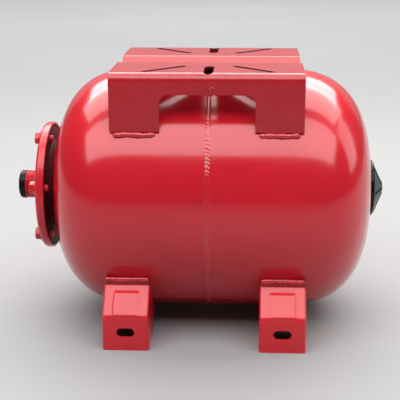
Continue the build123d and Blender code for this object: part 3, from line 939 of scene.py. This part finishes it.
def foot_profile():
    """(out, up) points of the front sheet from the floor to the tank, with a soft knee."""
    slope = Vector((FOOT_FRONT - FOOT_TOP[0], FOOT_KNEE - FOOT_TOP[1]))
    along = slope.normalized()
    knee = Vector((FOOT_FRONT, -FOOT_KNEE))
    floor = -AXIS_Z
    points = [Vector((FOOT_FRONT, floor + (-FOOT_KNEE - FOOT_ROUND - floor) * k / 14)) for k in range(15)]
    start = knee - Vector((0, FOOT_ROUND))
    end = knee - Vector((along.x, -along.y)) * FOOT_ROUND
    for k in range(1, 7):
        t = k / 7
        points.append(start * (1 - t) ** 2 + knee * 2 * t * (1 - t) + end * t**2)
    reach = slope.length - FOOT_ROUND - LIP_HEIGHT
    for k in range(19):
        points.append(end - Vector((along.x, -along.y)) * reach * k / 18)
    lip_foot = points[-1] - Vector((0.6 * MM, -0.9 * MM))
    for k in range(7):
        points.append(lip_foot.lerp(Vector((lip_foot.x, -FOOT_TOP[1])), k / 6))
    return points, knee, along


def pad_lift(rise, across):
    """Height of the pressed pad this far up the slope and this far from the middle."""
    side = 1 - smoothstep(PAD_WIDTH / 2, PAD_WIDTH / 2 + PAD_DRAFT, abs(across))
    return PAD_HEIGHT * side * (1 - smoothstep(*PAD_FADE, rise))


def foot(node, side, middle):
    """The pressed sheet of one foot with its rounded side edges, its pad and its cheeks."""
    profile, knee, along = foot_profile()
    low, high = corners(node)
    half = (high.x - low.x) / 2
    flat = half - FOOT_ROUND
    normal = Vector((along.y, along.x))
    bm = bmesh.new()

    def vertex(x, out, up):
        return bm.verts.new(Vector((middle + x, side * out, AXIS_Z + up)))

    def edge_vertex(point, inward, end, k):
        angle = math.pi / 2 * k / EDGE_STEPS
        x = end * (flat + FOOT_ROUND * math.sin(angle))
        return vertex(x, *(point + inward * FOOT_ROUND * (1 - math.cos(angle))))

    grid = []
    for point in profile:
        sloped = point.y > knee.y
        rise = (point - knee).length
        blend = smoothstep(-4 * MM, 6 * MM, point.y - knee.y)
        inward = Vector((-1, 0)).lerp(-normal, blend).normalized()
        row = [edge_vertex(point, inward, -1, k) for k in range(EDGE_STEPS, 0, -1)]
        for k in range(FLAT_STEPS + 1):
            x = -flat + 2 * flat * k / FLAT_STEPS
            lifted = point + normal * (pad_lift(rise, x) if sloped else 0)
            row.append(vertex(x, min(lifted.x, knee.x), lifted.y))
        row += [edge_vertex(point, inward, 1, k) for k in range(1, EDGE_STEPS + 1)]
        grid.append(row)
    for a, b in zip(grid, grid[1:]):
        for j in range(len(a) - 1):
            bm.faces.new((a[j], a[j + 1], b[j + 1], b[j]))
    # The cheeks close from the sheet's side edges to the floor, the rear edge and the tank.
    arc = []
    start_angle = math.atan2(FOOT_TOP[1], FOOT_TOP[0])
    end_angle = math.atan2(math.sqrt(TANK_R**2 - CHEEK_TOP**2), CHEEK_TOP)
    for k in range(1, 25):
        angle = start_angle + (end_angle - start_angle) * k / 24
        arc.append(Vector((TANK_R * math.cos(angle), -TANK_R * math.sin(angle))))
    rear = [Vector((FOOT_REAR - 1.2 * MM, -AXIS_Z + 1.6 * MM)), Vector((FOOT_REAR + 1.5 * MM, -AXIS_Z))]
    for x, column in ((-half, 0), (half, -1)):
        edge = [row[column] for row in grid]
        bm.faces.new(edge + [vertex(x, *p) for p in arc + rear])
    sheet = from_bmesh(f"pressed_{node}", bm, sharp_angle=40)
    thick = sheet.modifiers.new("sheet", "SOLIDIFY")
    thick.thickness = FOOT_PLATE
    thick.offset = -1
    thick.use_even_offset = True
    return apply_modifiers(sheet)


def apply_modifiers(obj):
    bpy.context.view_layer.update()
    graph = bpy.context.evaluated_depsgraph_get()
    mesh = bpy.data.meshes.new_from_object(obj.evaluated_get(graph))
    obj.modifiers.clear()
    obj.data = mesh
    return obj


def slot_cutter(place, length, width, depth, axis, turn=0.0):
    """A prism with round ends, to cut a slot along local X, pushed along the given axis."""
    half = length / 2 - width / 2
    outline = arc_points(half, 0, width / 2, -90, 90, 16) + arc_points(-half, 0, width / 2, 90, 270, 16)
    rotate = Matrix.Rotation(turn, 4, axis)

    def at(u, v, level):
        local = Vector((u, v, level)) if axis == "Z" else Vector((u, level, v))
        return place + rotate @ local

    return prism("cutter", [[at(u, v, level) for u, v in outline] for level in (-depth / 2, depth / 2)])


def cut(obj, cutters):
    for cutter in cutters:
        knife = obj.modifiers.new("cut", "BOOLEAN")
        knife.operation = "DIFFERENCE"
        knife.solver = "EXACT"
        knife.object = cutter
    apply_modifiers(obj)
    for cutter in cutters:
        bpy.data.objects.remove(cutter)
    return obj


def cut_and_round(obj, cutters, sharp_angle):
    cut(obj, cutters)
    obj.data.shade_smooth()
    obj.data.set_sharp_from_angle(angle=math.radians(sharp_angle))
    return bevelled(obj, EDGE_BEVEL, 2, 40)


def shaded_lip_under_bead(centre, normal):
    """Where painted shade goes: the upright lip of a foot, under its weld bead."""
    return centre.z > LIP_START and abs(normal.z) < 0.3 and abs(centre.y) > FOOT_TOP[0]


def pressed_foot(node, side):
    low, high = corners(node)
    middle = (low.x + high.x) / 2
    piece = foot(node, side, middle)
    length, width, height = FOOT_SLOT
    cutter = slot_cutter(Vector((middle, side * FOOT_FRONT, height)), length, width, 12 * MM, "Y")
    cut_and_round(piece, [cutter], 35)
    finish_piece(piece, "vessel", "red_foot", node)
    # Painted shade on the upright lip under the bead.
    return paint_shade_on(piece, shaded_lip_under_bead, red_painted_corner_shade)


for side_name, side in (("front", -1), ("rear", 1)):
    for end_name in ("left", "right"):
        pressed_foot(f"foot_{side_name}_{end_name}", side)


def foot_beads():
    """The beads at the top edges of the feet."""
    bm = bmesh.new()
    seed = 80
    for end_name in ("left", "right"):
        low, high = corners(f"foot_front_{end_name}")
        for side in (-1, 1):
            out = side * (FOOT_TOP[0] + 2.6 * MM)
            up = AXIS_Z - FOOT_TOP[1] - 0.2 * MM
            start = Vector((low.x + 0.8 * MM, out, up))
            end = Vector((high.x - 0.8 * MM, out, up))
            bead_tube(bm, start, end, Vector((0, side, 0.1)), 3.4 * MM, seed, 6.5 * MM)
            seed += 5
    piece = from_bmesh("foot_weld_beads", bm, sharp_angle=70)
    return finish_piece(piece, "vessel", "red_weld", "foot_welds")


foot_beads()

# ---------------------------------------------------------------- pump bracket
PLATE = 2.5 * MM
GROOVE_TOP = 27.0 * MM
GROOVE_FLOOR = 16.0 * MM
GROOVE_Z = AXIS_Z + TANK_R + 1.1 * MM + PLATE + 0.1 * MM
SKIRT_BEND = 9 * MM
GROOVE_BEND = 4 * MM
WINDOW_TOP = 129 * MM
WINDOW_BOTTOM = 60 * MM
WINDOW_CORNER = 10 * MM
CUT_MARGIN = 10 * MM
DIAGONAL_SLOT = (math.hypot(45, 45) * MM, 9 * MM)
DIAGONAL_PLACE = (49 * MM, 75.5 * MM)
CROSS_SLOT = (51.5 * MM, 10.4 * MM)
CROSS_PLACE = 80.75 * MM


def rounded_path(points, radii, steps=8):
    """A polyline in (y, z) with its inner corners rounded to these radii."""
    path = [points[0]]
    for previous, corner, following, radius in zip(points, points[1:], points[2:], radii):
        back = (previous - corner).normalized()
        ahead = (following - corner).normalized()
        half = back.angle(ahead) / 2
        distance = radius / math.tan(half)
        middle = corner + (back + ahead).normalized() * (radius / math.sin(half))
        first = corner + back * distance
        last = corner + ahead * distance
        for k in range(steps + 1):
            share = (first - middle).normalized().lerp((last - middle).normalized(), k / steps)
            path.append(middle + share.normalized() * radius)
    path.append(points[-1])
    return path


def bracket_sheet():
    """The folded plate as a solid: outer path, inner path and both ends, before it is cut."""
    top = plate_high.z
    bottom = plate_low.z
    half = [(PLATE_HALF_DEPTH, bottom), (PLATE_HALF_DEPTH, top), (GROOVE_TOP, top), (GROOVE_FLOOR, GROOVE_Z)]
    outer = [Vector((-y, z)) for y, z in half] + [Vector(point) for point in half[::-1]]
    path = rounded_path(outer, [SKIRT_BEND, *[GROOVE_BEND] * 4, SKIRT_BEND])
    inner = []
    for index, point in enumerate(path):
        before = path[max(index - 1, 0)]
        after = path[min(index + 1, len(path) - 1)]
        tangent = (after - before).normalized()
        inner.append(point + Vector((tangent.y, -tangent.x)) * PLATE)
    loop = path + inner[::-1]
    return prism("pump_plate", [[(x, *point) for point in loop] for x in (plate_low.x, plate_high.x)])


def window_cutter():
    """The cut-out of both skirts, with rounded upper corners."""
    corner_z = AXIS_Z + WINDOW_TOP - WINDOW_CORNER
    outline = [(CUTOUT_LEFT, AXIS_Z + WINDOW_BOTTOM)]
    outline += arc_points(CUTOUT_LEFT + WINDOW_CORNER, corner_z, WINDOW_CORNER, 180, 90, 12)
    outline += arc_points(CUTOUT_RIGHT - WINDOW_CORNER, corner_z, WINDOW_CORNER, 90, 0, 12)
    outline.append((CUTOUT_RIGHT, AXIS_Z + WINDOW_BOTTOM))
    sides = (plate_low.y - CUT_MARGIN, plate_high.y + CUT_MARGIN)
    return prism("window", [[(x, y, z) for x, z in outline] for y in sides])


def shaded_slot_walls(centre, normal):
    """Where painted shade goes: the walls of the slots in the plate's top."""
    upright = abs(normal.z) < 0.3 and centre.z > plate_high.z - 2 * PLATE
    return upright and 50 * MM < abs(centre.y) < 107 * MM and abs(centre.x - SEAM_X) < 80 * MM


def pump_plate():
    """The folded plate with its windows and its slots cut."""
    sheet = bracket_sheet()
    top = plate_high.z
    cutters = [window_cutter()]
    for side_x in (-1, 1):
        for side_y in (-1, 1):
            place = Vector((SEAM_X + side_x * DIAGONAL_PLACE[0], side_y * DIAGONAL_PLACE[1], top))
            cutters.append(slot_cutter(place, *DIAGONAL_SLOT, 14 * MM, "Z", side_x * side_y * math.pi / 4))
    for side_y in (-1, 1):
        place = Vector((SEAM_X, side_y * CROSS_PLACE, top))
        cutters.append(slot_cutter(place, *CROSS_SLOT, 20 * MM, "Z", math.pi / 2))
    cut_and_round(sheet, cutters, 32)
    finish_piece(sheet, "vessel", "red_bracket", "pump_bracket")
    # Painted shade on the slot walls.
    return paint_shade_on(sheet, shaded_slot_walls)


pump_plate()

# ---------------------------------------------------------------- CAD nodes that stay
KEPT = {
    "mouth_collar": "red_flange",
    "valve_boss": "red_flange",
    "membrane": "membrane_rubber",
    "valve_stem": "valve_brass",
    "valve_seal": "seal_rubber",
    "core_barrel": "valve_brass",
    "valve_pin": "valve_steel",
    "pin_seal": "seal_rubber",
    "core_spring": "valve_steel",
    "dust_cap": "black_plastic",
}
for node, slot_name in KEPT.items():
    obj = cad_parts[node]
    obj.data.materials.clear()
    obj.data.materials.append(MATERIALS[slot_name])
    # The mouth collar gets painted shade all over, as it sits behind the flange.
    if node == "mouth_collar":
        paint_shade_on(obj, everywhere)
    if node in ("mouth_collar", "valve_boss"):
        bevelled(obj, 0.4 * MM, 2, 40)


# ---------------------------------------------------------------- floor, light and camera
def floor_material():
    mat, tree, shader = material("pale_floor")
    tone = ramp(tree, noise(tree, 1.2, 3.0), ((0.3, (0.28, 0.284, 0.288)), (0.7, (0.30, 0.305, 0.31))))
    tree.links.new(tone, shader.inputs["Base Color"])
    shader.inputs["Roughness"].default_value = 0.75
    return mat


bm = bmesh.new()
bmesh.ops.create_grid(bm, x_segments=8, y_segments=8, size=40.0)
floor = from_bmesh("floor", bm, smooth=False)
floor.data.materials.append(floor_material())

world = bpy.data.worlds.new("studio")
bpy.context.scene.world = world
world.use_nodes = True
world.node_tree.nodes["Background"].inputs["Color"].default_value = (1, 1, 1, 1)
world.node_tree.nodes["Background"].inputs["Strength"].default_value = 0.1


def soft_light(name, place, target, width, height, power, colour=(1, 1, 1)):
    data = bpy.data.lights.new(name, "AREA")
    data.shape = "RECTANGLE"
    data.size = width
    data.size_y = height
    data.energy = power
    data.color = colour
    light = bpy.data.objects.new(name, data)
    bpy.context.scene.collection.objects.link(light)
    light.location = place
    light.rotation_euler = (Vector(target) - Vector(place)).to_track_quat("-Z", "Y").to_euler()
    return light


soft_light("key_softbox", (0.0, -0.77, 1.6), (0, 0, 0.15), 4.4, 1.2, 66)
soft_light("top_softbox", (0.0, 0.6, 1.75), (0, 0, 0.15), 3.6, 1.1, 50, (1, 0.93, 0.88))
soft_light("right_softbox", (1.9, 0.35, 1.0), (0, 0, 0.15), 0.8, 1.2, 7)
soft_light("back_panel", (0.0, 6.0, 1.6), (0, 0, 0.2), 9.0, 2.6, 20)
soft_light("floor_light", (0.0, 3.6, 3.2), (0, 3.6, 0.0), 6.0, 3.0, 330)
# These face away from the object and light only the floor around it, for views from other sides.
soft_light("left_floor_light", (-2.4, 0.0, 3.2), (-9.0, 0, 0), 4.0, 3.0, 190)
soft_light("right_floor_light", (2.4, 0.0, 3.2), (9.0, 0, 0), 4.0, 3.0, 190)
soft_light("front_floor_light", (0.0, -2.4, 3.0), (0, -9.0, 0), 4.0, 3.0, 190)

camera_data = bpy.data.cameras.new("photo_view")
camera_data.sensor_width = 36
camera_data.lens = 91.46
camera = bpy.data.objects.new("photo_view", camera_data)
bpy.context.scene.collection.objects.link(camera)
CAMERA_PLACE = Vector((57.3 * MM, -1177.2 * MM, 465.8 * MM))
CAMERA_YAW = math.radians(-2.81)
CAMERA_PITCH = math.radians(15.83)
CAMERA_ROLL = math.radians(0.12)
camera.location = CAMERA_PLACE
look = Vector(
    (
        math.sin(CAMERA_YAW) * math.cos(CAMERA_PITCH),
        math.cos(CAMERA_YAW) * math.cos(CAMERA_PITCH),
        -math.sin(CAMERA_PITCH),
    )
)
turned = look.to_track_quat("-Z", "Y") @ Matrix.Rotation(-CAMERA_ROLL, 3, "Z").to_quaternion()
camera.rotation_euler = turned.to_euler()
bpy.context.scene.camera = camera
bpy.context.scene.view_settings.view_transform = "Standard"
